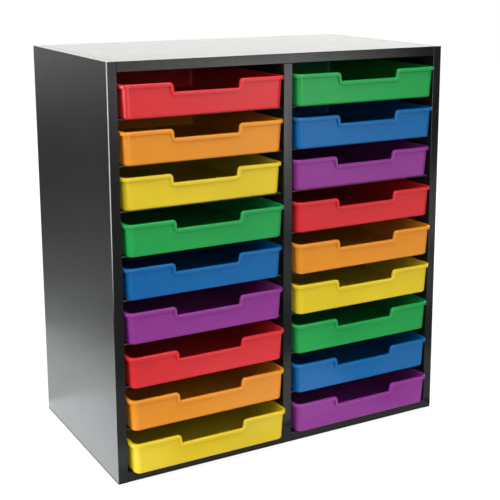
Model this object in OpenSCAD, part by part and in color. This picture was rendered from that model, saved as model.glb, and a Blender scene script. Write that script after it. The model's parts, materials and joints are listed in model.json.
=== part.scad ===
// Classroom mail centre: a free-standing laminated cabinet with two columns of slots.
// Thin shelves run in grooves, and each slot holds a loose moulded tray with a finger notch.
// Millimetres, +Z up. The origin is the centre of the cabinet's footprint, and the front looks along -Y.

/* [Cabinet] */
// Width across the two side panels
cabinet_width = 610; // [450:1:900]
// Depth from the front edge bands to the rear edges
cabinet_depth = 340; // [300:1:450]
// Height of the side panels
cabinet_height = 660; // [630:1:900]
// Thickness of the laminated boards
board = 16; // [15:1:25]
// Thickness of the edge bands
band = 2; // [0.5:0.1:3]
// Rounding along the edge bands' outer corners
band_round = 1; // [0.2:0.1:3]

/* [Shelves and back panel] */
// Thickness of the hardboard shelves
shelf = 2.5; // [2:0.5:5]
// Distance from the boards' front edges back to the shelves' front edges
shelf_setback = 8; // [0:0.5:20]
// Depth of the grooves that hold the shelves
shelf_groove = 4; // [3:0.5:5]
// Thickness of the hardboard back panel
back = 3; // [2.5:0.5:5]
// Depth of the grooves that hold the back panel
back_groove = 6; // [4:0.5:8]
// Distance from the rear edges to the back panel's rear face
back_inset = 6; // [4:0.5:15]
// Clearance of a sheet in its groove
sheet_fit = 0.2; // [0.1:0.05:0.4]

/* [Tray body] */
// Height of a tray
tray_height = 51; // [40:1:58]
// Clearance beside the tray's rim, on each side
tray_side_gap = 1.5; // [0.8:0.1:4]
// How far the left column's trays lie to the right in their slots, as a share of the play there
left_trays_aside = 0.3; // [-0.8:0.1:0.8]
// How far the right column's trays lie to the right in their slots, as a share of the play there
right_trays_aside = 0.8; // [-0.8:0.1:0.8]
// How far the rim of a tray that is pushed right in stands out of the front
tray_overhang = 3; // [0:0.5:10]
// Running clearance under a tray
tray_lift = 0.2; // [0.1:0.05:0.4]
// Thickness of a tray's walls
tray_wall = 2; // [1.5:0.1:2.5]
// Thickness of a tray's floor
tray_floor = 2.2; // [1.5:0.1:3]
// Slope of a tray's walls, in degrees
tray_draft = 2.7; // [0.5:0.1:3.5]
// Radius of the rim's corners, seen from above
tray_corner = 14; // [13:0.5:30]
// Rounding between wall and floor, outside
foot_round = 2.5; // [1:0.5:4]
// Rounding between wall and floor, inside
inside_round = 2; // [0.5:0.5:2.5]

/* [Tray rim] */
// How far the rim stands out from the wall
rim_out = 3.5; // [2.5:0.1:4.5]
// Height of the rim's skirt
rim_height = 5.6; // [4:0.1:7]
// Thickness of the rim's flange
rim_flange = 1.8; // [1.2:0.1:2.5]
// Thickness of the rim's skirt
rim_skirt = 1.6; // [1.2:0.1:2]

/* [Finger notch] */
// Width of the notch at half its depth
notch_width = 111; // [60:1:140]
// Depth of the notch below the rim's top
notch_depth = 14.4; // [12:0.1:25]
// Slope of the notch's sides, in degrees
notch_slope = 8; // [0:1:15]
// Rounding where the rim turns down into the notch
notch_shoulder = 6; // [4:0.5:10]
// Rounding in the notch's lower corners
notch_corner = 1.5; // [1:0.5:3]

/* [Fasteners] */
// Distance between the two cam locks of a joint
cam_spacing = 220; // [180:1:260]
// Distance between the two dowels of a joint
dowel_spacing = 140; // [60:1:150]
// Distance from a board's end to its cam locks' centres
cam_reach = 34; // [24:1:40]
// Diameter of a cam lock
cam_d = 15; // [12:0.5:16]
// Height of a cam lock
cam_height = 12.5; // [11:0.5:13]
// Length of the driver cross in a cam lock's face
cross_length = 7; // [5:0.5:9]
// Width of the driver cross
cross_width = 1.4; // [1:0.1:2]
// Depth of the driver cross
cross_depth = 2.5; // [1.5:0.1:3]
// Diameter of a cam bolt's shank
bolt_d = 6; // [5:0.5:7]
// Diameter of the screwed end of a cam bolt
bolt_thread_d = 5; // [4:0.5:6]
// Length of a cam bolt's head
bolt_head = 2.5; // [2:0.1:3]
// Length of the neck behind the head
bolt_neck = 4; // [3:0.1:4.5]
// Diameter of the neck
bolt_neck_d = 3.6; // [3:0.1:4.5]
// Diameter of a dowel
dowel_d = 8; // [6:0.5:8]
// Depth of bolts and dowels in the board that the joint's other board ends on
fixing_depth = 11; // [8:0.5:12]
// Length of a dowel
dowel_length = 30; // [24:1:40]
// Clearance round a fastener in its bore
bore_fit = 0.1; // [0.05:0.05:0.3]

/* [Hidden] */
$fn = 64;
ROWS = 9;
COLUMNS = ["left", "right"];

// Rows count from the top. How far each tray's rim stands out of the cabinet's front.
STAND_OUT = [
    [12, 10.5, 4.5, 14, 7.5, 10, 15, 15, 20],
    [12, 10.5, 4, 10.5, 14.5, 13.5, 11, 11.5, 14]];
// Six colours repeat down a column, and the right column starts half a turn later.
TRAY_COLOURS = ["#D62D2D", "#E2942C", "#DEC42C", "#289B4B", "#1464A5", "#8C378C"];
LAMINATE_COLOUR = "#2B2B2D";
BAND_COLOUR = "#3A3A3C";
SHEET_COLOUR = "#46423E";
METAL_COLOUR = "#B9BABC";
BEECH_COLOUR = "#C9A26B";

// Height from one tray's seat to the next
slot_pitch = (cabinet_height - 2 * board) / ROWS;
front = -cabinet_depth / 2;
rear = cabinet_depth / 2;
board_front = front + band;
shelf_front = board_front + shelf_setback;
column_width = (cabinet_width - 3 * board) / 2;
column_offset = (column_width + board) / 2;
back_face = rear - back_inset - back;
inner_depth = back_face - front;
tray_width = column_width - 2 * tray_side_gap;
tray_length = inner_depth + tray_overhang;
// Straight sides that an arc is drawn with
arc_steps = 4;
// How far a cut runs past the face that it opens
cut = 1;
// Flat that the rounding leaves at an edge band's glued face
least_flat = 0.1;
// Least rounding of the notch along the lower edge of its skirt
least_round = 1;
// Room round a bolt's head inside its cam lock
pocket_room = 0.5;

function column_x(column) = (column == 0 ? -1 : 1) * column_offset;
function tray_x(column) = column_x(column) + tray_side_gap * (column == 0 ? left_trays_aside : right_trays_aside);
function seat_height(row) = board + (ROWS - row) * slot_pitch;
function unit(v) = v / norm(v);

// The points of an arc of the given radius that rounds the corner b of the path a, b, c
function corner_arc(a, b, c, radius) =
    let (
        to_a = unit(a - b),
        to_c = unit(c - b),
        half = acos(to_a * to_c) / 2,
        centre = b + unit(to_a + to_c) * radius / sin(half),
        from = b + to_a * radius / tan(half) - centre,
        to = b + to_c * radius / tan(half) - centre,
        start = atan2(from.y, from.x),
        turn = sign(cross(from, to)) * (180 - 2 * half))
    [for (i = [0:arc_steps])
        let (angle = start + turn * i / arc_steps)
        centre + radius * [cos(angle), sin(angle)]];

// Cabinet boards

module side_board(side) {
    inner = side * (cabinet_width / 2 - board);
    difference() {
        translate([side * (cabinet_width - board) / 2, (board_front + rear) / 2, (cabinet_height - band) / 2])
            cube([board, rear - board_front, cabinet_height - band], center = true);
        for (row = [1:ROWS - 1])
            shelf_slot(inner, seat_height(row));
        translate([inner - back_groove, back_face - sheet_fit, board - back_groove])
            cube([2 * back_groove, back + 2 * sheet_fit, cabinet_height - 2 * (board - back_groove)]);
        all_bores();
    }
}

// A groove on both sides of the plane at x that holds the edges of the shelves below a seat.
// It starts just before the shelf's front edge, so that none of it shows there.
module shelf_slot(x, seat) {
    translate([x - shelf_groove, shelf_front - sheet_fit, seat - shelf - sheet_fit])
        cube([2 * shelf_groove, back_face - shelf_front + sheet_fit, shelf + sheet_fit]);
}

module level_board(bottom) {
    groove = bottom == 0 ? board : bottom;
    difference() {
        translate([board - cabinet_width / 2, board_front, bottom])
            cube([cabinet_width - 2 * board, rear - board_front, board]);
        translate([-cabinet_width / 2, back_face - sheet_fit, groove - back_groove])
            cube([cabinet_width, back + 2 * sheet_fit, 2 * back_groove]);
        all_bores();
    }
}

module left_side() { color(LAMINATE_COLOUR) side_board(-1); }
module right_side() { color(LAMINATE_COLOUR) side_board(1); }
module top_board() { color(LAMINATE_COLOUR) level_board(cabinet_height - board); }
module bottom_board() { color(LAMINATE_COLOUR) level_board(0); }

module centre_divider() {
    color(LAMINATE_COLOUR) difference() {
        translate([-board / 2, board_front, board])
            cube([board, back_face - sheet_fit - board_front, cabinet_height - 2 * board]);
        for (row = [1:ROWS - 1], side = [-1, 1])
            shelf_slot(side * board / 2, seat_height(row));
        all_bores();
    }
}

module back_panel() {
    reach = back_groove - sheet_fit;
    color(SHEET_COLOUR)
        translate([board - cabinet_width / 2 - reach, back_face, board - reach])
            cube([cabinet_width - 2 * (board - reach), back, cabinet_height - 2 * (board - reach)]);
}

module shelf_sheet() {
    reach = shelf_groove - sheet_fit;
    color(SHEET_COLOUR)
        translate([-column_width / 2 - reach, shelf_front, -shelf])
            cube([column_width + 2 * reach, back_face - sheet_fit - shelf_front, shelf]);
}

// Edge bands: a strip as wide as the board, with rounded outer corners

module band_section() {
    rounding = min(band_round, band - least_flat);
    left = [-board / 2, 0];
    right = [board / 2, 0];
    glued = [0, band];
    polygon(concat(
        [left + glued],
        corner_arc(left + glued, left, right, rounding),
        corner_arc(left, right, right + glued, rounding),
        [right + glued]));
}

// Runs along +Z, with its outer face towards -Y
module edge_band(length) { color(BAND_COLOUR) linear_extrude(length) band_section(); }

module side_front_band(side) {
    translate([side * (cabinet_width - board) / 2, front, 0]) edge_band(cabinet_height);
}
module left_front_band() { side_front_band(-1); }
module right_front_band() { side_front_band(1); }

module divider_front_band() {
    translate([0, front, board]) edge_band(cabinet_height - 2 * board);
}

module level_front_band(bottom) {
    translate([board - cabinet_width / 2, front, bottom + board / 2])
        rotate([0, 90, 0]) edge_band(cabinet_width - 2 * board);
}
module top_front_band() { level_front_band(cabinet_height - board); }
module bottom_front_band() { level_front_band(0); }

// The side panels' top edges show beside the top board, so they are banded too
module side_top_band(side) {
    translate([side * (cabinet_width - board) / 2, board_front, cabinet_height])
        rotate([-90, 0, 0]) edge_band(rear - board_front);
}
module left_top_band() { side_top_band(-1); }
module right_top_band() { side_top_band(1); }

// Fasteners. At each joint +X runs into the board that carries the cam locks, and +Z to their open face.

module at_joints() {
    for (level = [board / 2, cabinet_height - board / 2]) {
        translate([board - cabinet_width / 2, 0, level]) rotate([180, 0, 0]) children();
        translate([cabinet_width / 2 - board, 0, level]) rotate([0, 180, 0]) children();
    }
    translate([0, 0, board]) rotate([0, -90, 0]) rotate([180, 0, 0]) children();
    translate([0, 0, cabinet_height - board]) rotate([0, 90, 0]) children();
}

module at_pairs(spacing) {
    at_joints()
        for (side = [-1, 1])
            translate([0, side * spacing / 2, 0]) children();
}

// A round bar along +X from one x to another
module bar(d, from, to) { translate([from, 0, 0]) rotate([0, 90, 0]) cylinder(d = d, h = to - from); }

module all_bores() {
    at_pairs(cam_spacing) {
        bar(bolt_thread_d, -fixing_depth - bore_fit, cut);
        bar(bolt_d + 2 * bore_fit, 0, cam_reach);
        translate([cam_reach, 0, board / 2 - cam_height - bore_fit])
            cylinder(d = cam_d + 2 * bore_fit, h = cam_height + cut);
    }
    at_pairs(dowel_spacing)
        bar(dowel_d + 2 * bore_fit, -fixing_depth - bore_fit, dowel_length - fixing_depth + bore_fit);
}

module cam_lock() {
    pocket = bolt_d + 2 * pocket_room;
    difference() {
        translate([cam_reach, 0, board / 2 - cam_height]) cylinder(d = cam_d, h = cam_height - bore_fit);
        bar(pocket, 0, cam_reach + pocket / 2);
        for (angle = [0, 90])
            translate([cam_reach, 0, board / 2])
                rotate(angle) cube([cross_length, cross_width, 2 * cross_depth], center = true);
    }
}

module cam_bolt() {
    shank = cam_reach - cam_d / 2;
    head_start = shank + bolt_neck;
    bar(bolt_thread_d, -fixing_depth, 0);
    bar(bolt_d, 0, shank);
    bar(bolt_neck_d, shank, head_start);
    bar(bolt_d, head_start, head_start + bolt_head);
}

module cam_locks() { color(METAL_COLOUR) at_pairs(cam_spacing) cam_lock(); }
module cam_bolts() { color(METAL_COLOUR) at_pairs(cam_spacing) cam_bolt(); }
module dowels() {
    color(BEECH_COLOUR) at_pairs(dowel_spacing)
        bar(dowel_d, -fixing_depth, dowel_length - fixing_depth);
}

// Tray. Its rim is centred on X, its front is at y = 0 and it stands on z = 0.

// Floor, wall and hollow rim cut through, with x measured outwards from the rim corner's centre
module tray_section() {
    slope = tan(tray_draft);
    wall_top = tray_corner - rim_out;
    wall_foot = wall_top - tray_height * slope;
    under_flange = tray_height - rim_flange;
    inner_foot = wall_foot - tray_wall + tray_floor * slope;
    skirt_foot = tray_height - rim_height;
    polygon(concat(
        [[0, 0]],
        corner_arc([0, 0], [wall_foot, 0], [wall_top, tray_height], foot_round),
        [[wall_top - rim_flange * slope, under_flange]],
        [[tray_corner - rim_skirt, under_flange]],
        [[tray_corner - rim_skirt, skirt_foot]],
        [[tray_corner, skirt_foot]],
        [[tray_corner, tray_height]],
        [[wall_top - tray_wall, tray_height]],
        corner_arc([wall_top - tray_wall, tray_height], [inner_foot, tray_floor], [0, tray_floor], inside_round),
        [[0, tray_floor]]));
}

// Carries a section round the rim: a straight run on each side and a quarter turn at each corner
module round_the_rim() {
    half_width = tray_width / 2 - tray_corner;
    half_length = tray_length / 2 - tray_corner;
    translate([0, tray_length / 2, 0]) {
        for (side = [0, 1]) rotate(180 * side) {
            translate([half_width, half_length, 0])
                rotate([90, 0, 0]) linear_extrude(2 * half_length) children();
            translate([-half_width, half_length, 0])
                rotate([90, 0, 90]) linear_extrude(2 * half_width) children();
            translate([half_width, half_length, 0]) rotate_extrude(angle = 90) children();
            translate([-half_width, half_length, 0]) rotate(90) rotate_extrude(angle = 90) children();
        }
        translate([-half_width, -half_length, 0])
            cube([2 * half_width, 2 * half_length, tray_floor]);
    }
}

// The rim's upper edge through the notch, or with grow a line that far below it
function notch_edge(grow) =
    let (
        top = tray_height - grow,
        bottom = tray_height - notch_depth - grow,
        spread = grow * (1 / cos(notch_slope) - tan(notch_slope)),
        lean = notch_depth / 2 * tan(notch_slope),
        at_top = notch_width / 2 + lean + spread,
        at_bottom = notch_width / 2 - lean + spread,
        shoulder = max(notch_shoulder - grow, least_round),
        left = concat(
            corner_arc([-notch_width, top], [-at_top, top], [-at_bottom, bottom], shoulder),
            corner_arc([-at_top, top], [-at_bottom, bottom], [at_bottom, bottom], notch_corner + grow)))
    concat(left, [for (i = [len(left) - 1:-1:0]) [-left[i].x, left[i].y]]);

module notch_shape(grow) {
    edge = notch_edge(grow);
    last = edge[len(edge) - 1];
    polygon(concat([[edge[0].x, tray_height + cut]], edge, [[last.x, tray_height + cut]]));
}

// Extrudes a shape seen from the front back to a depth behind the rim's face
module from_front(depth) {
    translate([0, depth, 0]) rotate([90, 0, 0]) linear_extrude(depth) children();
}

// A strip of even width under the notch's edge
module notch_strip(strip) {
    difference() {
        notch_shape(strip);
        notch_shape(0);
    }
}

// All that lies in front of the middle of the sloping front wall
module before_the_wall() {
    slope = tan(tray_draft);
    middle = rim_out + tray_wall / 2;
    translate([-notch_width, 0, 0]) rotate([90, 0, 90]) linear_extrude(2 * notch_width)
        polygon([
            [-cut, 0], [middle + tray_height * slope, 0],
            [middle - cut * slope, tray_height + cut], [-cut, tray_height + cut]]);
}

module tray_body() {
    wall_back = rim_out + tray_wall + tray_height * tan(tray_draft);
    difference() {
        round_the_rim() tray_section();
        translate([0, -cut, 0]) from_front(wall_back + 2 * cut) notch_shape(0);
    }
    intersection() {
        from_front(wall_back) notch_strip(rim_flange);
        before_the_wall();
    }
    from_front(rim_skirt) notch_strip(rim_height);
}

module tray(column, row) {
    colour = TRAY_COLOURS[(row - 1 + 3 * column) % len(TRAY_COLOURS)];
    translate([tray_x(column), front - STAND_OUT[column][row - 1], seat_height(row) + tray_lift])
        color(colour) tray_body();
}

left_side();
right_side();
top_board();
bottom_board();
centre_divider();
back_panel();
left_front_band();
right_front_band();
top_front_band();
bottom_front_band();
divider_front_band();
left_top_band();
right_top_band();
cam_locks();
cam_bolts();
dowels();
for (column = [0, 1], row = [1:ROWS - 1])
    translate([column_x(column), 0, seat_height(row)]) shelf_sheet();
for (column = [0, 1], row = [1:ROWS])
    tray(column, row);
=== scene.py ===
"""Looks of a classroom mail cabinet: a black laminated carcass with two columns of slots and moulded trays.

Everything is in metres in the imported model's frame: +Z up, the open front towards -Y, the origin at the
centre of the cabinet's footprint.
"""

import json
import math

import bmesh
import bpy
from mathutils import Matrix, Vector

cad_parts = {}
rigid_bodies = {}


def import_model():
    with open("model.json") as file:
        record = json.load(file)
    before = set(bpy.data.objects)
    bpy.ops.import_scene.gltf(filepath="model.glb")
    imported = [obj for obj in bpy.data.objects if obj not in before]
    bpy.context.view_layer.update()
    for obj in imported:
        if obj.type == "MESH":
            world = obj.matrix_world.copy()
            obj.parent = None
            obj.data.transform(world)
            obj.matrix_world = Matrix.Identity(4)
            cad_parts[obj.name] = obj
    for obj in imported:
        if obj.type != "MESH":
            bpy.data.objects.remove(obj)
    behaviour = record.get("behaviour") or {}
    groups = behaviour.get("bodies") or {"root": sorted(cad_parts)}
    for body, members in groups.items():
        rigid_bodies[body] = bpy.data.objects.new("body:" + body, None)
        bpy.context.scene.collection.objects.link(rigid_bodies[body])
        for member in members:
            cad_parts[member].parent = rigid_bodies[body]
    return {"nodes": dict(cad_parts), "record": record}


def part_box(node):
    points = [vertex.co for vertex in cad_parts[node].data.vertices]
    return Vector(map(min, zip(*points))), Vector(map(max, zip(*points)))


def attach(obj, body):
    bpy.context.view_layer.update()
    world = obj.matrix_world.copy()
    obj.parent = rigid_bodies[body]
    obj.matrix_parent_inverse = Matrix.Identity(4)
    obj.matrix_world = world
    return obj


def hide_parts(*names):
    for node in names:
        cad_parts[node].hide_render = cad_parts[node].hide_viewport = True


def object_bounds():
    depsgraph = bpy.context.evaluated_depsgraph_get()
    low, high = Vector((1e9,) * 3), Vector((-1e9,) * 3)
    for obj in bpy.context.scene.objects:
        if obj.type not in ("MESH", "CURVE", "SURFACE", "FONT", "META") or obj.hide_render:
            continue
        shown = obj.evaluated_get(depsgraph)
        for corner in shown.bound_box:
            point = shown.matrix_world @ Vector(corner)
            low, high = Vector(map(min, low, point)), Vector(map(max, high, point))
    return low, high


for starter in list(bpy.data.objects):
    bpy.data.objects.remove(starter)

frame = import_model()
cad_low, cad_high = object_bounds()
slot_of = {part["node"]: part["material_slot"] for part in frame["record"]["subparts"]}

MM = 0.001
NEARLY = 0.01 * MM
COLUMNS = ("left", "right")
ROWS = 9

# Tray, as moulded: one even thickness all over
TRAY_THICKNESS = 1.9 * MM
TRAY_DRAFT = math.radians(2.7)
RIM_REACH = 5.4 * MM
RIM_CORNER = 14 * MM
RIM_HEIGHT = 5.6 * MM
RIM_ROUND = 2.0 * MM
LIP_ROUND = 0.9 * MM
FOOT_ROUND = 1.6 * MM
EDGE_ROUND = 0.4 * MM
CORNER_SEGMENTS = 8
EDGE_SEGMENTS = 4

# Finger notch in the tray's front
NOTCH_WIDTH = 111 * MM
NOTCH_DEPTH = 14.4 * MM
NOTCH_SLOPE = math.radians(8)
NOTCH_SHOULDER = 6 * MM
NOTCH_CORNER = 1.5 * MM

# Edge bands
BAND_ROUND = 1.0 * MM
GLUE_LINE = 0.2 * MM

# Where a highlight is painted into the left front band's colour: how far in from its side, and from which
# height upwards
PAINTED_HIGHLIGHT_WIDTH = (0.9 * MM, 1.0 * MM)
PAINTED_HIGHLIGHT_HEIGHT = (0.27, 0.42)

# Edges that turn by more than this are corners, and shading stays sharp over them
SQUARE_TURN = math.radians(60)
SHARP_TURN = math.radians(50)

# Least and greatest roughness
LAMINATE_GLOSS = (0.325, 0.355)
BAND_GLOSS = (0.15, 0.19)
TRAY_GLOSS = (0.27, 0.31)

# Colours, linear
BLACK_LAMINATE = (0.0100, 0.0102, 0.0110)
BLACK_BAND = (0.0062, 0.0063, 0.0067)
BLACK_SHEET = (0.0150, 0.0147, 0.0150)
PLAIN_WHITE = (1, 1, 1)
# Colour of the highlight painted on the left front band's outer corner
PAINTED_HIGHLIGHT_COLOUR = (0.50, 0.50, 0.51)
TRAY_COLOURS = {
    "tray_red": (0.625, 0.023, 0.029),
    "tray_orange": (0.740, 0.260, 0.016),
    "tray_yellow": (0.715, 0.525, 0.018),
    "tray_green": (0.013, 0.318, 0.065),
    "tray_blue": (0.003, 0.119, 0.352),
    "tray_purple": (0.256, 0.034, 0.256),
}

# Places where a material changes: the shelves' sawn front edges, the boards' raw rear edges and
# undersides, and the back panel's rear face
SHELF_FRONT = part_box("shelf_left_1")[0].y
SAWN_DEPTH = 0.4 * MM
RAW_DEPTH = (0.4 * MM, 0.6 * MM)
PANEL_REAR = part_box("back_panel")[1].y - 1 * MM

# Fine streaks of an edge band, per metre along it and across it
STREAKS_ALONG = 12
STREAKS_ACROSS = 1300

# Stage: the world's own light, and a floor that is white to the camera, less so close to the cabinet
WORLD_LIGHT = 0.08
FLOOR_RADIUS = 40
FLOOR_COLOUR = (0.16, 0.16, 0.16)
FLOOR_NEAR = 0.5
FLOOR_FAR = 1.3
FLOOR_WHITE_NEAR = 0.88
FLOOR_MIRRORED_FROM = 3.4
FLOOR_MIRRORED_FULLY = 9

# Softboxes: name, place, aim, width, height, power, colour
MIDDLE = (0, 0, 0.33)
SOFTBOXES = (
    ("key_softbox", (-0.9, -2.5, 1.3), MIDDLE, 1.0, 1.0, 16, PLAIN_WHITE),
    ("high_left_softbox", (-1.3, -1.9, 2.5), MIDDLE, 1.2, 1.0, 22, PLAIN_WHITE),
    ("high_right_softbox", (0.6, -2.2, 2.3), MIDDLE, 1.4, 1.0, 9.6, PLAIN_WHITE),
    ("low_softbox", (-0.7, -2.5, 0.22), (-0.1, 0, 0.25), 1.6, 0.4, 12, PLAIN_WHITE),
    ("overhead_softbox", (0, -0.2, 2.6), MIDDLE, 2.0, 2.0, 60, PLAIN_WHITE),
    ("rear_softbox", (1.6, 3.0, 1.3), MIDDLE, 4.0, 1.4, 34, (1.0, 0.99, 0.94)),
    ("right_softbox", (2.5, 1.0, 1.3), MIDDLE, 1.2, 1.2, 50, PLAIN_WHITE),
    ("left_strip", (-1.5, -0.28, 0.45), (-0.3, -0.17, 0.45), 0.65, 0.25, 9, PLAIN_WHITE),
)

# Low panels in front, which the edge bands reflect: x, z, width, height, power
FRONT_PANEL_Y = -2.5
FRONT_PANELS = (
    (0.6, 0.12, 0.3, 0.22, 0.13),
    (0.6, 0.35, 0.3, 0.24, 0.44),
    (0.9, 0.35, 0.3, 0.24, 0.64),
    (1.2, 0.12, 0.3, 0.22, 1.67),
    (1.2, 0.35, 0.3, 0.24, 0.99),
    (1.5, 0.35, 0.3, 0.24, 1.06),
    (1.8, 0.35, 0.3, 0.24, 0.49),
    (0.7, 0.65, 0.6, 0.3, 1.26),
)

# Bright patches of floor, which the left side and the edge bands reflect: low corner, high corner, radiance
FLOOR_PATCH_HEIGHT = 1 * MM
FLOOR_PATCH_COLOUR = (0.96, 1, 1)
FLOOR_PATCHES = (
    ((-0.43, -0.25), (-0.3055, 0.2), 2.82),
    ((-0.43, 0.2), (-0.3055, 0.6), 1.85),
    ((-0.52, -0.05), (-0.43, 0.4), 2.23),
    ((-0.52, 0.4), (-0.43, 0.85), 1.39),
    ((-0.7, 0.7), (-0.52, 1.3), 0.46),
    ((-1.1, 0.6), (-0.7, 1.9), 0.15),
    ((-0.31, -0.225), (0.31, -0.171), 0.50),
    ((-0.31, -0.29), (-0.2, -0.225), 1.00),
    ((-0.27, -0.55), (-0.1, -0.29), 0.42),
    ((-0.06, -0.52), (0.22, -0.24), 1.03),
    ((0.3, -0.42), (0.5, -0.2), 0.52),
    ((0.2, -1.25), (0.65, -0.85), 0.62),
    ((0.6, -1.1), (0.95, -0.65), 0.61),
    ((0.95, -1.5), (1.35, -1.1), 1.27),
    ((1.3, -1.95), (1.7, -1.5), 1.18),
    ((0.75, -2), (1.25, -1.45), 1.06),
    ((1, -2.45), (1.6, -2), 1.32),
)

# Camera, as the photograph was taken
CAMERA_PLACE = (-0.8696, -1.6408, 0.8073)
CAMERA_AZIMUTH = math.radians(-30.161)
CAMERA_ELEVATION = math.radians(11.627)
CAMERA_ROLL = math.radians(0.133)
CAMERA_LENS = 77.66
CAMERA_SHIFT = (-0.06, -0.14)


# Edit mode helpers

def start_edit(piece):
    bpy.ops.object.select_all(action="DESELECT")
    piece.select_set(True)
    bpy.context.view_layer.objects.active = piece
    bpy.ops.object.mode_set(mode="EDIT")


def end_edit():
    bpy.ops.object.mode_set(mode="OBJECT")


def choose(kind, test=None):
    """Selects the piece's vertices, edges or faces that pass a test, or all of them."""
    shape = bmesh.from_edit_mesh(bpy.context.active_object.data)
    elements = {"VERT": shape.verts, "EDGE": shape.edges, "FACE": shape.faces}[kind]
    wanted = [e for e in elements if test is None or test(e)]
    bpy.ops.mesh.select_mode(type=kind)
    bpy.ops.mesh.select_all(action="DESELECT")
    for element in wanted:
        element.select_set(True)
    bmesh.update_edit_mesh(bpy.context.active_object.data)


def run_of(edge):
    return (edge.verts[1].co - edge.verts[0].co).normalized()


def is_corner(edge):
    return len(edge.link_faces) == 2 and edge.calc_face_angle() > SQUARE_TURN


def finish_modifier(piece, kind, **settings):
    modifier = piece.modifiers.new(kind.lower(), kind)
    for name, value in settings.items():
        setattr(modifier, name, value)
    bpy.ops.object.select_all(action="DESELECT")
    piece.select_set(True)
    bpy.context.view_layer.objects.active = piece
    bpy.ops.object.modifier_apply(modifier=modifier.name)


def new_box(name, low, high):
    """A cube between two corners, with its place in its mesh."""
    low, high = Vector(low), Vector(high)
    bpy.ops.object.select_all(action="DESELECT")
    bpy.ops.mesh.primitive_cube_add(size=1, location=(low + high) / 2)
    piece = bpy.context.active_object
    piece.name = name
    piece.data.name = name
    piece.scale = high - low
    bpy.ops.object.transform_apply(location=True, rotation=True, scale=True)
    return piece


def copy_to(piece, name, place):
    """A copy of a finished piece with its own mesh, moved inside that mesh."""
    copy = bpy.data.objects.new(name, piece.data.copy())
    copy.data.name = name
    copy.data.transform(Matrix.Translation(place))
    bpy.context.scene.collection.objects.link(copy)
    return copy


# Trays

def moulded_tray(width, length, height):
    """A tray with its rim centred on x = 0, its front at y = 0 and its foot at z = 0."""
    depth = height - TRAY_THICKNESS
    lean = depth * math.tan(TRAY_DRAFT)
    half = width / 2 - RIM_REACH
    tray = new_box("tray", (-half, RIM_REACH, TRAY_THICKNESS), (half, length - RIM_REACH, height))
    start_edit(tray)

    # The cavity: open on top, narrower at the foot, with round corners
    choose("FACE", lambda f: f.normal.z > 0.9)
    bpy.ops.mesh.delete(type="ONLY_FACE")
    choose("FACE", lambda f: f.normal.z < -0.9)
    bpy.ops.transform.resize(value=(1 - lean / half, 1 - lean / (length / 2 - RIM_REACH), 1),
                             center_override=(0, length / 2, TRAY_THICKNESS))
    choose("EDGE", lambda e: abs(run_of(e).z) > 0.9)
    bpy.ops.mesh.bevel(offset=RIM_CORNER - RIM_REACH, segments=CORNER_SEGMENTS, profile=0.5)

    cut_notch(height)

    choose("EDGE", lambda e: all(abs(v.co.z - TRAY_THICKNESS) < NEARLY for v in e.verts))
    bpy.ops.mesh.bevel(offset=FOOT_ROUND, segments=EDGE_SEGMENTS, profile=0.5)

    turn_rim_over()
    end_edit()

    # What is modelled is the side that shows, so the wall grows behind it
    finish_modifier(tray, "SOLIDIFY", thickness=TRAY_THICKNESS, offset=-1, use_even_offset=True,
                    use_quality_normals=True)
    finish_modifier(tray, "BEVEL", width=EDGE_ROUND, segments=2, limit_method="ANGLE",
                    angle_limit=SHARP_TURN, use_clamp_overlap=False)
    smooth(tray)
    return tray


def cut_notch(height):
    """Cuts the finger notch into the front wall's upper edge and rounds its corners."""
    lean = NOTCH_DEPTH / 2 * math.tan(NOTCH_SLOPE)
    at_top = NOTCH_WIDTH / 2 + lean
    at_bottom = NOTCH_WIDTH / 2 - lean
    floor = height - NOTCH_DEPTH

    def in_front(face):
        return face.normal.y < -math.cos(1.5 * TRAY_DRAFT)

    for side in (-1, 1):
        choose("FACE", in_front)
        bpy.ops.mesh.bisect(plane_co=(side * NOTCH_WIDTH / 2, 0, height - NOTCH_DEPTH / 2),
                            plane_no=(math.cos(NOTCH_SLOPE), 0, -side * math.sin(NOTCH_SLOPE)))
    choose("FACE", lambda f: in_front(f) and abs(f.calc_center_median().x) < at_bottom / 2)
    bpy.ops.mesh.bisect(plane_co=(0, 0, floor), plane_no=(0, 0, 1))
    choose("FACE", lambda f: in_front(f) and f.calc_center_median().z > floor
           and abs(f.calc_center_median().x) < at_bottom)
    bpy.ops.mesh.delete(type="FACE")
    choose("EDGE", lambda e: len(e.link_faces) == 2 and all(in_front(f) for f in e.link_faces))
    bpy.ops.mesh.dissolve_edges(use_verts=False)

    # The outline turns by the same angle at all four of its corners
    corner_angle = math.radians(90) + NOTCH_SLOPE
    near = 0.1 * MM
    for radius, x, z, segments in ((NOTCH_SHOULDER, at_top, height, CORNER_SEGMENTS),
                                   (NOTCH_CORNER, at_bottom, floor, EDGE_SEGMENTS)):
        choose("VERT", lambda v: abs(abs(v.co.x) - x) < near and abs(v.co.z - z) < near and v.co.y < 50 * MM)
        bpy.ops.mesh.bevel(offset=radius / math.tan(corner_angle / 2), segments=segments, profile=0.5,
                           affect="VERTICES")


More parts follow.
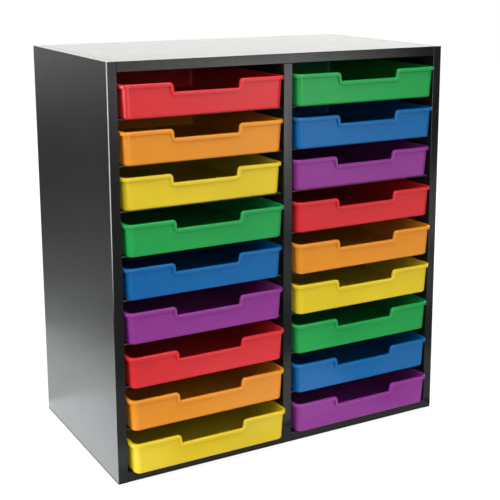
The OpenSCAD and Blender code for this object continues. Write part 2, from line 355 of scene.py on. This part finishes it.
def turn_rim_over():
    """Carries a flange outwards from the upper edge and a skirt down from it, all the way round."""
    choose("FACE")
    bpy.ops.mesh.inset(thickness=RIM_HEIGHT, use_boundary=True, use_even_offset=True)
    choose("EDGE", lambda e: e.is_boundary)
    bpy.ops.mesh.mark_seam()

    # The skirt is the wall's top strip, doubled and pushed outwards
    choose("FACE", lambda f: any(e.is_boundary for e in f.edges))
    bpy.ops.mesh.duplicate()
    bpy.ops.transform.shrink_fatten(value=RIM_REACH, use_even_offset=True)
    choose("EDGE", lambda e: e.seam and e.select)
    bpy.ops.mesh.mark_sharp()
    choose("EDGE", lambda e: e.seam)
    bpy.ops.mesh.bridge_edge_loops()
    choose("FACE")
    bpy.ops.mesh.normals_make_consistent(inside=False)

    for rounding, on_edge in ((RIM_ROUND, lambda e: e.seam and not e.smooth), (LIP_ROUND, lambda e: e.seam)):
        choose("EDGE", on_edge)
        bpy.ops.mesh.mark_sharp(clear=True)
        bpy.ops.mesh.mark_seam(clear=True)
        bpy.ops.mesh.bevel(offset=rounding, segments=EDGE_SEGMENTS, profile=0.5)


def smooth(piece):
    """Smooth shading that leaves the flat faces flat between their roundings."""
    bpy.ops.object.select_all(action="DESELECT")
    piece.select_set(True)
    bpy.context.view_layer.objects.active = piece
    bpy.ops.object.shade_smooth_by_angle(angle=SHARP_TURN)
    finish_modifier(piece, "WEIGHTED_NORMAL", keep_sharp=True, weight=100)


def make_trays():
    low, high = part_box("tray_left_1")
    tray = moulded_tray(high.x - low.x, high.y - low.y, high.z - low.z)
    for column in COLUMNS:
        for row in range(1, ROWS + 1):
            node = f"tray_{column}_{row}"
            low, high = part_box(node)
            copy = copy_to(tray, f"moulded_{node}", ((low.x + high.x) / 2, low.y, low.z))
            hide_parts(node)
            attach(copy, node)
            dress(copy, slot_of[node])
    bpy.data.objects.remove(tray)


# Edge bands

def edge_band(node, outwards):
    """A strip of edge band with its two outer edges rounded and a fine chamfer along the glue line."""
    low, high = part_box(node)
    size = high - low
    length_axis = max(range(3), key=lambda axis: size[axis])
    out_axis = 1 if outwards[1] else 2
    face = low[out_axis] if outwards[out_axis] < 0 else high[out_axis]
    band = new_box(f"{node}_strip", low, high)
    start_edit(band)
    choose("EDGE", lambda e: abs(run_of(e)[length_axis]) > 0.9
           and all(abs(v.co[out_axis] - face) < NEARLY for v in e.verts))
    bpy.ops.mesh.bevel(offset=BAND_ROUND, segments=5, profile=0.5)
    choose("EDGE", is_corner)
    bpy.ops.mesh.bevel(offset=GLUE_LINE, segments=2, profile=0.5)
    end_edit()
    smooth(band)
    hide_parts(node)
    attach(band, "cabinet")
    along = ("edge_band_across", "edge_band_on_top", "edge_band")[length_axis]
    # The left front band's finish has a painted highlight on its outer corner
    dress(band, slot_of[node], "edge_band_rubbed" if node == "left_front_band" else along)


def make_bands():
    for place in ("left", "right", "top", "bottom", "divider"):
        edge_band(f"{place}_front_band", (0, -1, 0))
    for place in ("left", "right"):
        edge_band(f"{place}_top_band", (0, 0, 1))


# Materials

class Finish:
    """A procedural material: its shader and the nodes that feed it, all on Object coordinates."""

    def __init__(self, name, **constants):
        self.material = bpy.data.materials.new(name)
        self.material.use_nodes = True
        self.tree = self.material.node_tree
        self.shader = self.tree.nodes["Principled BSDF"]
        self.place = self.node("ShaderNodeTexCoord", {}, "Object")
        for socket, value in constants.items():
            self.feed(self.shader.inputs[socket.replace("_", " ")], value)

    def feed(self, socket, value):
        """Links a node's output to a socket, or sets the socket's own value."""
        if isinstance(value, bpy.types.NodeSocket):
            self.tree.links.new(value, socket)
        elif socket.type == "RGBA":
            socket.default_value = (*value, 1)
        else:
            socket.default_value = value

    def node(self, kind, inputs, output=0, **settings):
        made = self.tree.nodes.new(kind)
        for name, value in settings.items():
            setattr(made, name, value)
        for name, value in inputs.items():
            self.feed(made.inputs[name], value)
        return made.outputs[output]

    def colour(self, value):
        self.feed(self.shader.inputs["Base Color"], value)

    def roughness(self, value):
        self.feed(self.shader.inputs["Roughness"], value)

    def surface(self, *reliefs):
        """Puts one relief over another, each a height from 0 to 1 and the depth that 1 stands for."""
        normal = None
        for height, depth in reliefs:
            inputs = {"Height": height, "Distance": depth, "Strength": 1.0}
            if normal:
                inputs["Normal"] = normal
            normal = self.node("ShaderNodeBump", inputs)
        self.feed(self.shader.inputs["Normal"], normal)

    def stretched(self, *scale):
        return self.node("ShaderNodeMapping", {"Vector": self.place, "Scale": scale})

    def along(self, axis):
        return self.node("ShaderNodeSeparateXYZ", {"Vector": self.place}, axis)

    def noise(self, scale, detail=2.0, roughness=0.5, place=None):
        return self.node("ShaderNodeTexNoise", {"Vector": place or self.place, "Scale": scale,
                                                "Detail": detail, "Roughness": roughness}, "Fac")

    def cells(self, scale, place):
        return self.node("ShaderNodeTexVoronoi", {"Vector": place, "Scale": scale}, "Distance")

    def ridges(self, scale, axis):
        pattern = {"Vector": self.place, "Scale": scale, "Distortion": 0.4}
        return self.node("ShaderNodeTexWave", pattern, "Fac", bands_direction=axis)

    def spread(self, value, low, high, to_low=0.0, to_high=1.0):
        """Maps low..high to to_low..to_high, held at both ends."""
        return self.node("ShaderNodeMapRange", {"Value": value, "From Min": low, "From Max": high,
                                                "To Min": to_low, "To Max": to_high})

    def blend(self, share, first, second):
        return self.node("ShaderNodeMix", {0: share, 6: first, 7: second}, 2, data_type="RGBA")

    def between(self, share, first, second):
        return self.node("ShaderNodeMix", {0: share, 2: first, 3: second}, 0, data_type="FLOAT")

    def maths(self, operation, first, second):
        return self.node("ShaderNodeMath", {0: first, 1: second}, operation=operation)


def tint(colour, share):
    return tuple(part * share for part in colour)


def black_laminate():
    """Satin melamine with a fine pebble, and painted chipboard where a board's raw edge shows."""
    finish = Finish("laminate", IOR=1.42)
    least, most = RAW_DEPTH
    rear = finish.spread(finish.along("Y"), cad_high.y - most, cad_high.y - least)
    under = finish.spread(finish.along("Z"), most, least)
    raw = finish.maths("MAXIMUM", rear, under)
    chips = finish.cells(330, finish.stretched(1, 1, 2.2))
    tone = finish.spread(finish.noise(6, 3), 0.35, 0.65)
    face = finish.blend(tone, tint(BLACK_LAMINATE, 0.86), tint(BLACK_LAMINATE, 1.16))
    chipboard = finish.blend(finish.spread(chips, 0.1, 0.7), (0.015, 0.013, 0.012), (0.036, 0.030, 0.025))
    finish.colour(finish.blend(raw, face, chipboard))
    scuffs = finish.spread(finish.noise(42, 6, 0.62), 0.35, 0.75, *LAMINATE_GLOSS)
    finish.roughness(finish.between(raw, scuffs, 0.74))
    finish.surface((finish.noise(1400, 2), 0.004 * MM), (finish.maths("MULTIPLY", chips, raw), 0.4 * MM))
    return finish.material


def edge_band_strip(name, axis, gloss, paint_highlight=False):
    """Extruded band: faint streaks along an axis, and if asked a highlight painted on its outer corner."""
    finish = Finish(name, IOR=1.42)
    pattern = [STREAKS_ALONG if axis == other else STREAKS_ACROSS for other in "XYZ"]
    streaks = finish.noise(1, 3, 0.6, finish.stretched(*pattern))
    colour = finish.blend(finish.spread(streaks, 0.3, 0.7), tint(BLACK_BAND, 0.85), tint(BLACK_BAND, 1.2))
    # Painted highlight: the outer corner is made lighter in colour, from a given height upwards
    if paint_highlight:
        corner = finish.spread(finish.along("X"), *(cad_low.x + width for width in PAINTED_HIGHLIGHT_WIDTH), 1, 0)
        highlight_fade = finish.spread(finish.along("Z"), *PAINTED_HIGHLIGHT_HEIGHT)
        colour = finish.blend(finish.maths("MULTIPLY", corner, highlight_fade), colour, PAINTED_HIGHLIGHT_COLOUR)
    finish.colour(colour)
    wear = finish.noise(60, 5, 0.6)
    finish.roughness(finish.spread(wear, 0.35, 0.7, *gloss))
    finish.surface((streaks, 0.003 * MM), (finish.noise(900, 2), 0.002 * MM))
    return finish.material


def painted_hardboard():
    """Black-faced hardboard: smooth, wire-marked on its rear face and grey-brown on its sawn front edges."""
    finish = Finish("hardboard", IOR=1.47)
    fibres = finish.noise(1, 4, 0.7, finish.stretched(90, 900, 900))
    sawn = finish.maths("LESS_THAN", finish.along("Y"), SHELF_FRONT + SAWN_DEPTH)
    edge = finish.blend(finish.spread(fibres, 0.3, 0.7), (0.030, 0.026, 0.023), (0.075, 0.064, 0.055))
    mottle = finish.spread(finish.noise(24, 5, 0.6), 0.35, 0.7)
    face = finish.blend(mottle, tint(BLACK_SHEET, 0.85), tint(BLACK_SHEET, 1.3))
    finish.colour(finish.blend(sawn, face, edge))
    finish.roughness(finish.between(sawn, finish.spread(mottle, 0, 1, 0.44, 0.54), 0.8))
    wires = finish.maths("MULTIPLY", finish.ridges(260, "X"), finish.ridges(260, "Z"))
    behind = finish.maths("GREATER_THAN", finish.along("Y"), PANEL_REAR)
    screen = finish.maths("MULTIPLY", wires, behind)
    finish.surface((finish.noise(700, 3), 0.02 * MM), (screen, 0.25 * MM))
    return finish.material


def cast_zinc():
    finish = Finish("zinc", Metallic=1.0)
    grain = finish.noise(1800, 3)
    stain = finish.spread(finish.noise(300, 4, 0.6), 0.3, 0.7)
    finish.colour(finish.blend(stain, (0.30, 0.31, 0.33), (0.46, 0.47, 0.49)))
    finish.roughness(finish.spread(grain, 0.3, 0.7, 0.36, 0.52))
    finish.surface((grain, 0.02 * MM))
    return finish.material


def plain_beech():
    """Beech with its grain along X and the short dark flecks of its rays."""
    finish = Finish("beech", IOR=1.45)
    grain = finish.noise(1, 4, 0.6, finish.stretched(25, 700, 700))
    flecks = finish.cells(1, finish.stretched(350, 1600, 1600))
    wood = finish.blend(finish.spread(grain, 0.3, 0.7), (0.36, 0.19, 0.085), (0.56, 0.34, 0.17))
    finish.colour(finish.blend(finish.spread(flecks, 0.16, 0.10, 0, 0.5), wood, (0.20, 0.09, 0.035)))
    finish.roughness(finish.spread(grain, 0.3, 0.7, 0.55, 0.68))
    finish.surface((grain, 0.05 * MM))
    return finish.material


def moulded_plastic(name):
    """Moulded polystyrene: a trace of uneven colour, faint orange peel and fine rubbing on the surface."""
    colour = TRAY_COLOURS[name]
    finish = Finish(name, IOR=1.50, Specular_IOR_Level=0.3)
    flow = finish.spread(finish.noise(9, 3, 0.55), 0.3, 0.7)
    finish.colour(finish.blend(flow, tint(colour, 0.95), tint(colour, 1.05)))
    rubbing = finish.noise(1, 4, 0.65, finish.stretched(420, 30, 420))
    finish.roughness(finish.spread(rubbing, 0.35, 0.75, *TRAY_GLOSS))
    finish.surface((finish.noise(160, 2), 0.006 * MM), (finish.noise(1100, 2), 0.0015 * MM))
    return finish.material


def make_finishes():
    finishes = {
        "laminate": black_laminate(),
        "edge_band_across": edge_band_strip("edge_band_across", "X", BAND_GLOSS),
        "edge_band_on_top": edge_band_strip("edge_band_on_top", "Y", LAMINATE_GLOSS),
        "edge_band": edge_band_strip("edge_band", "Z", BAND_GLOSS),
        # The same vertical band finish with a painted highlight on its outer corner
        "edge_band_rubbed": edge_band_strip("edge_band_rubbed", "Z", BAND_GLOSS, paint_highlight=True),
        "hardboard": painted_hardboard(),
        "zinc": cast_zinc(),
        "beech": plain_beech(),
    }
    for name in TRAY_COLOURS:
        finishes[name] = moulded_plastic(name)
    return finishes


def dress(piece, slot, finish=None):
    """Gives a new piece its material: the finish named, or else the one for the record's slot that it stands
    for.
    """
    piece.data.materials.clear()
    piece.data.materials.append(finishes[finish or slot])


def dress_cad_nodes():
    for name, node in frame["nodes"].items():
        for place in node.material_slots:
            if slot_of[name] in finishes:
                place.material = finishes[slot_of[name]]


# Stage

def make_camera():
    camera = bpy.data.objects.new("camera", bpy.data.cameras.new("camera"))
    camera.matrix_world = (
        Matrix.Translation(CAMERA_PLACE)
        @ Matrix.Rotation(CAMERA_AZIMUTH, 4, "Z")
        @ Matrix.Rotation(math.radians(90) - CAMERA_ELEVATION, 4, "X")
        @ Matrix.Rotation(CAMERA_ROLL, 4, "Z"))
    camera.data.lens = CAMERA_LENS
    camera.data.shift_x, camera.data.shift_y = CAMERA_SHIFT
    bpy.context.scene.collection.objects.link(camera)
    bpy.context.scene.camera = camera


def softbox(name, place, aim, width, height, power, colour=PLAIN_WHITE):
    lamp = bpy.data.lights.new(name, "AREA")
    lamp.shape = "RECTANGLE"
    lamp.size = width
    lamp.size_y = height
    lamp.energy = power
    lamp.color = colour
    holder = bpy.data.objects.new(name, lamp)
    turn = (Vector(aim) - Vector(place)).to_track_quat("-Z", "Y")
    holder.matrix_world = Matrix.Translation(place) @ turn.to_matrix().to_4x4()
    holder.visible_camera = False
    bpy.context.scene.collection.objects.link(holder)


def glowing_floor(name, low, high, radiance):
    """A panel that lies on the floor, shines upwards and shows only in the cabinet's gloss."""
    width, depth = high[0] - low[0], high[1] - low[1]
    x, y = (low[0] + high[0]) / 2, (low[1] + high[1]) / 2
    power = math.pi * radiance * width * depth
    softbox(name, (x, y, FLOOR_PATCH_HEIGHT), (x, y, 1), width, depth, power, FLOOR_PATCH_COLOUR)


def make_lamps():
    for lamp in SOFTBOXES:
        softbox(*lamp)
    for number, (x, z, width, height, power) in enumerate(FRONT_PANELS, 1):
        softbox(f"front_panel_{number}", (x, FRONT_PANEL_Y, z), (x, 0, z), width, height, power)
    for number, patch in enumerate(FLOOR_PATCHES, 1):
        glowing_floor(f"floor_patch_{number}", *patch)


class Backdrop(Finish):
    """White to the camera, and in reflections where it lies behind the cabinet."""

    def __init__(self, tree):
        self.tree = tree
        self.rays = tree.nodes.new("ShaderNodeLightPath")

    def white_share(self, to_camera, in_reflections):
        ray = self.rays.outputs
        mirrored = self.maths("MAXIMUM", ray["Is Glossy Ray"], ray["Is Transmission Ray"])
        return self.maths("MAXIMUM", self.maths("MULTIPLY", ray["Is Camera Ray"], to_camera),
                          self.maths("MULTIPLY", mirrored, in_reflections))


def make_world():
    world = bpy.data.worlds.new("studio")
    world.use_nodes = True
    backdrop = Backdrop(world.node_tree)
    direction = backdrop.node("ShaderNodeTexCoord", {}, "Generated")
    rearwards = backdrop.node("ShaderNodeSeparateXYZ", {"Vector": direction}, "Y")
    behind = backdrop.spread(rearwards, 0.0, 0.5)
    shown = backdrop.white_share(1.0, behind)
    background = world.node_tree.nodes["Background"]
    backdrop.feed(background.inputs["Color"], PLAIN_WHITE)
    backdrop.feed(background.inputs["Strength"], backdrop.between(shown, WORLD_LIGHT, 1.0))
    bpy.context.scene.world = world


def make_floor():
    """A wide floor that takes the cabinet's shadow and shows as white to the camera."""
    bpy.ops.object.select_all(action="DESELECT")
    bpy.ops.mesh.primitive_circle_add(vertices=96, radius=FLOOR_RADIUS, fill_type="NGON")
    floor = bpy.context.active_object
    floor.name = "floor"
    finish = Finish("floor", Base_Color=FLOOR_COLOUR, Roughness=0.9, Specular_IOR_Level=0.0,
                    Emission_Color=PLAIN_WHITE)
    backdrop = Backdrop(finish.tree)
    distance = finish.node("ShaderNodeVectorMath", {0: finish.place}, "Value", operation="LENGTH")
    to_camera = finish.spread(distance, FLOOR_NEAR, FLOOR_FAR, FLOOR_WHITE_NEAR, 1)
    behind = finish.spread(finish.along("Y"), FLOOR_MIRRORED_FROM, FLOOR_MIRRORED_FULLY)
    finish.feed(finish.shader.inputs["Emission Strength"], backdrop.white_share(to_camera, behind))
    floor.data.materials.append(finish.material)


finishes = make_finishes()
make_camera()
make_trays()
make_bands()
dress_cad_nodes()
make_floor()
make_lamps()
make_world()
bpy.context.scene.view_settings.view_transform = "Standard"
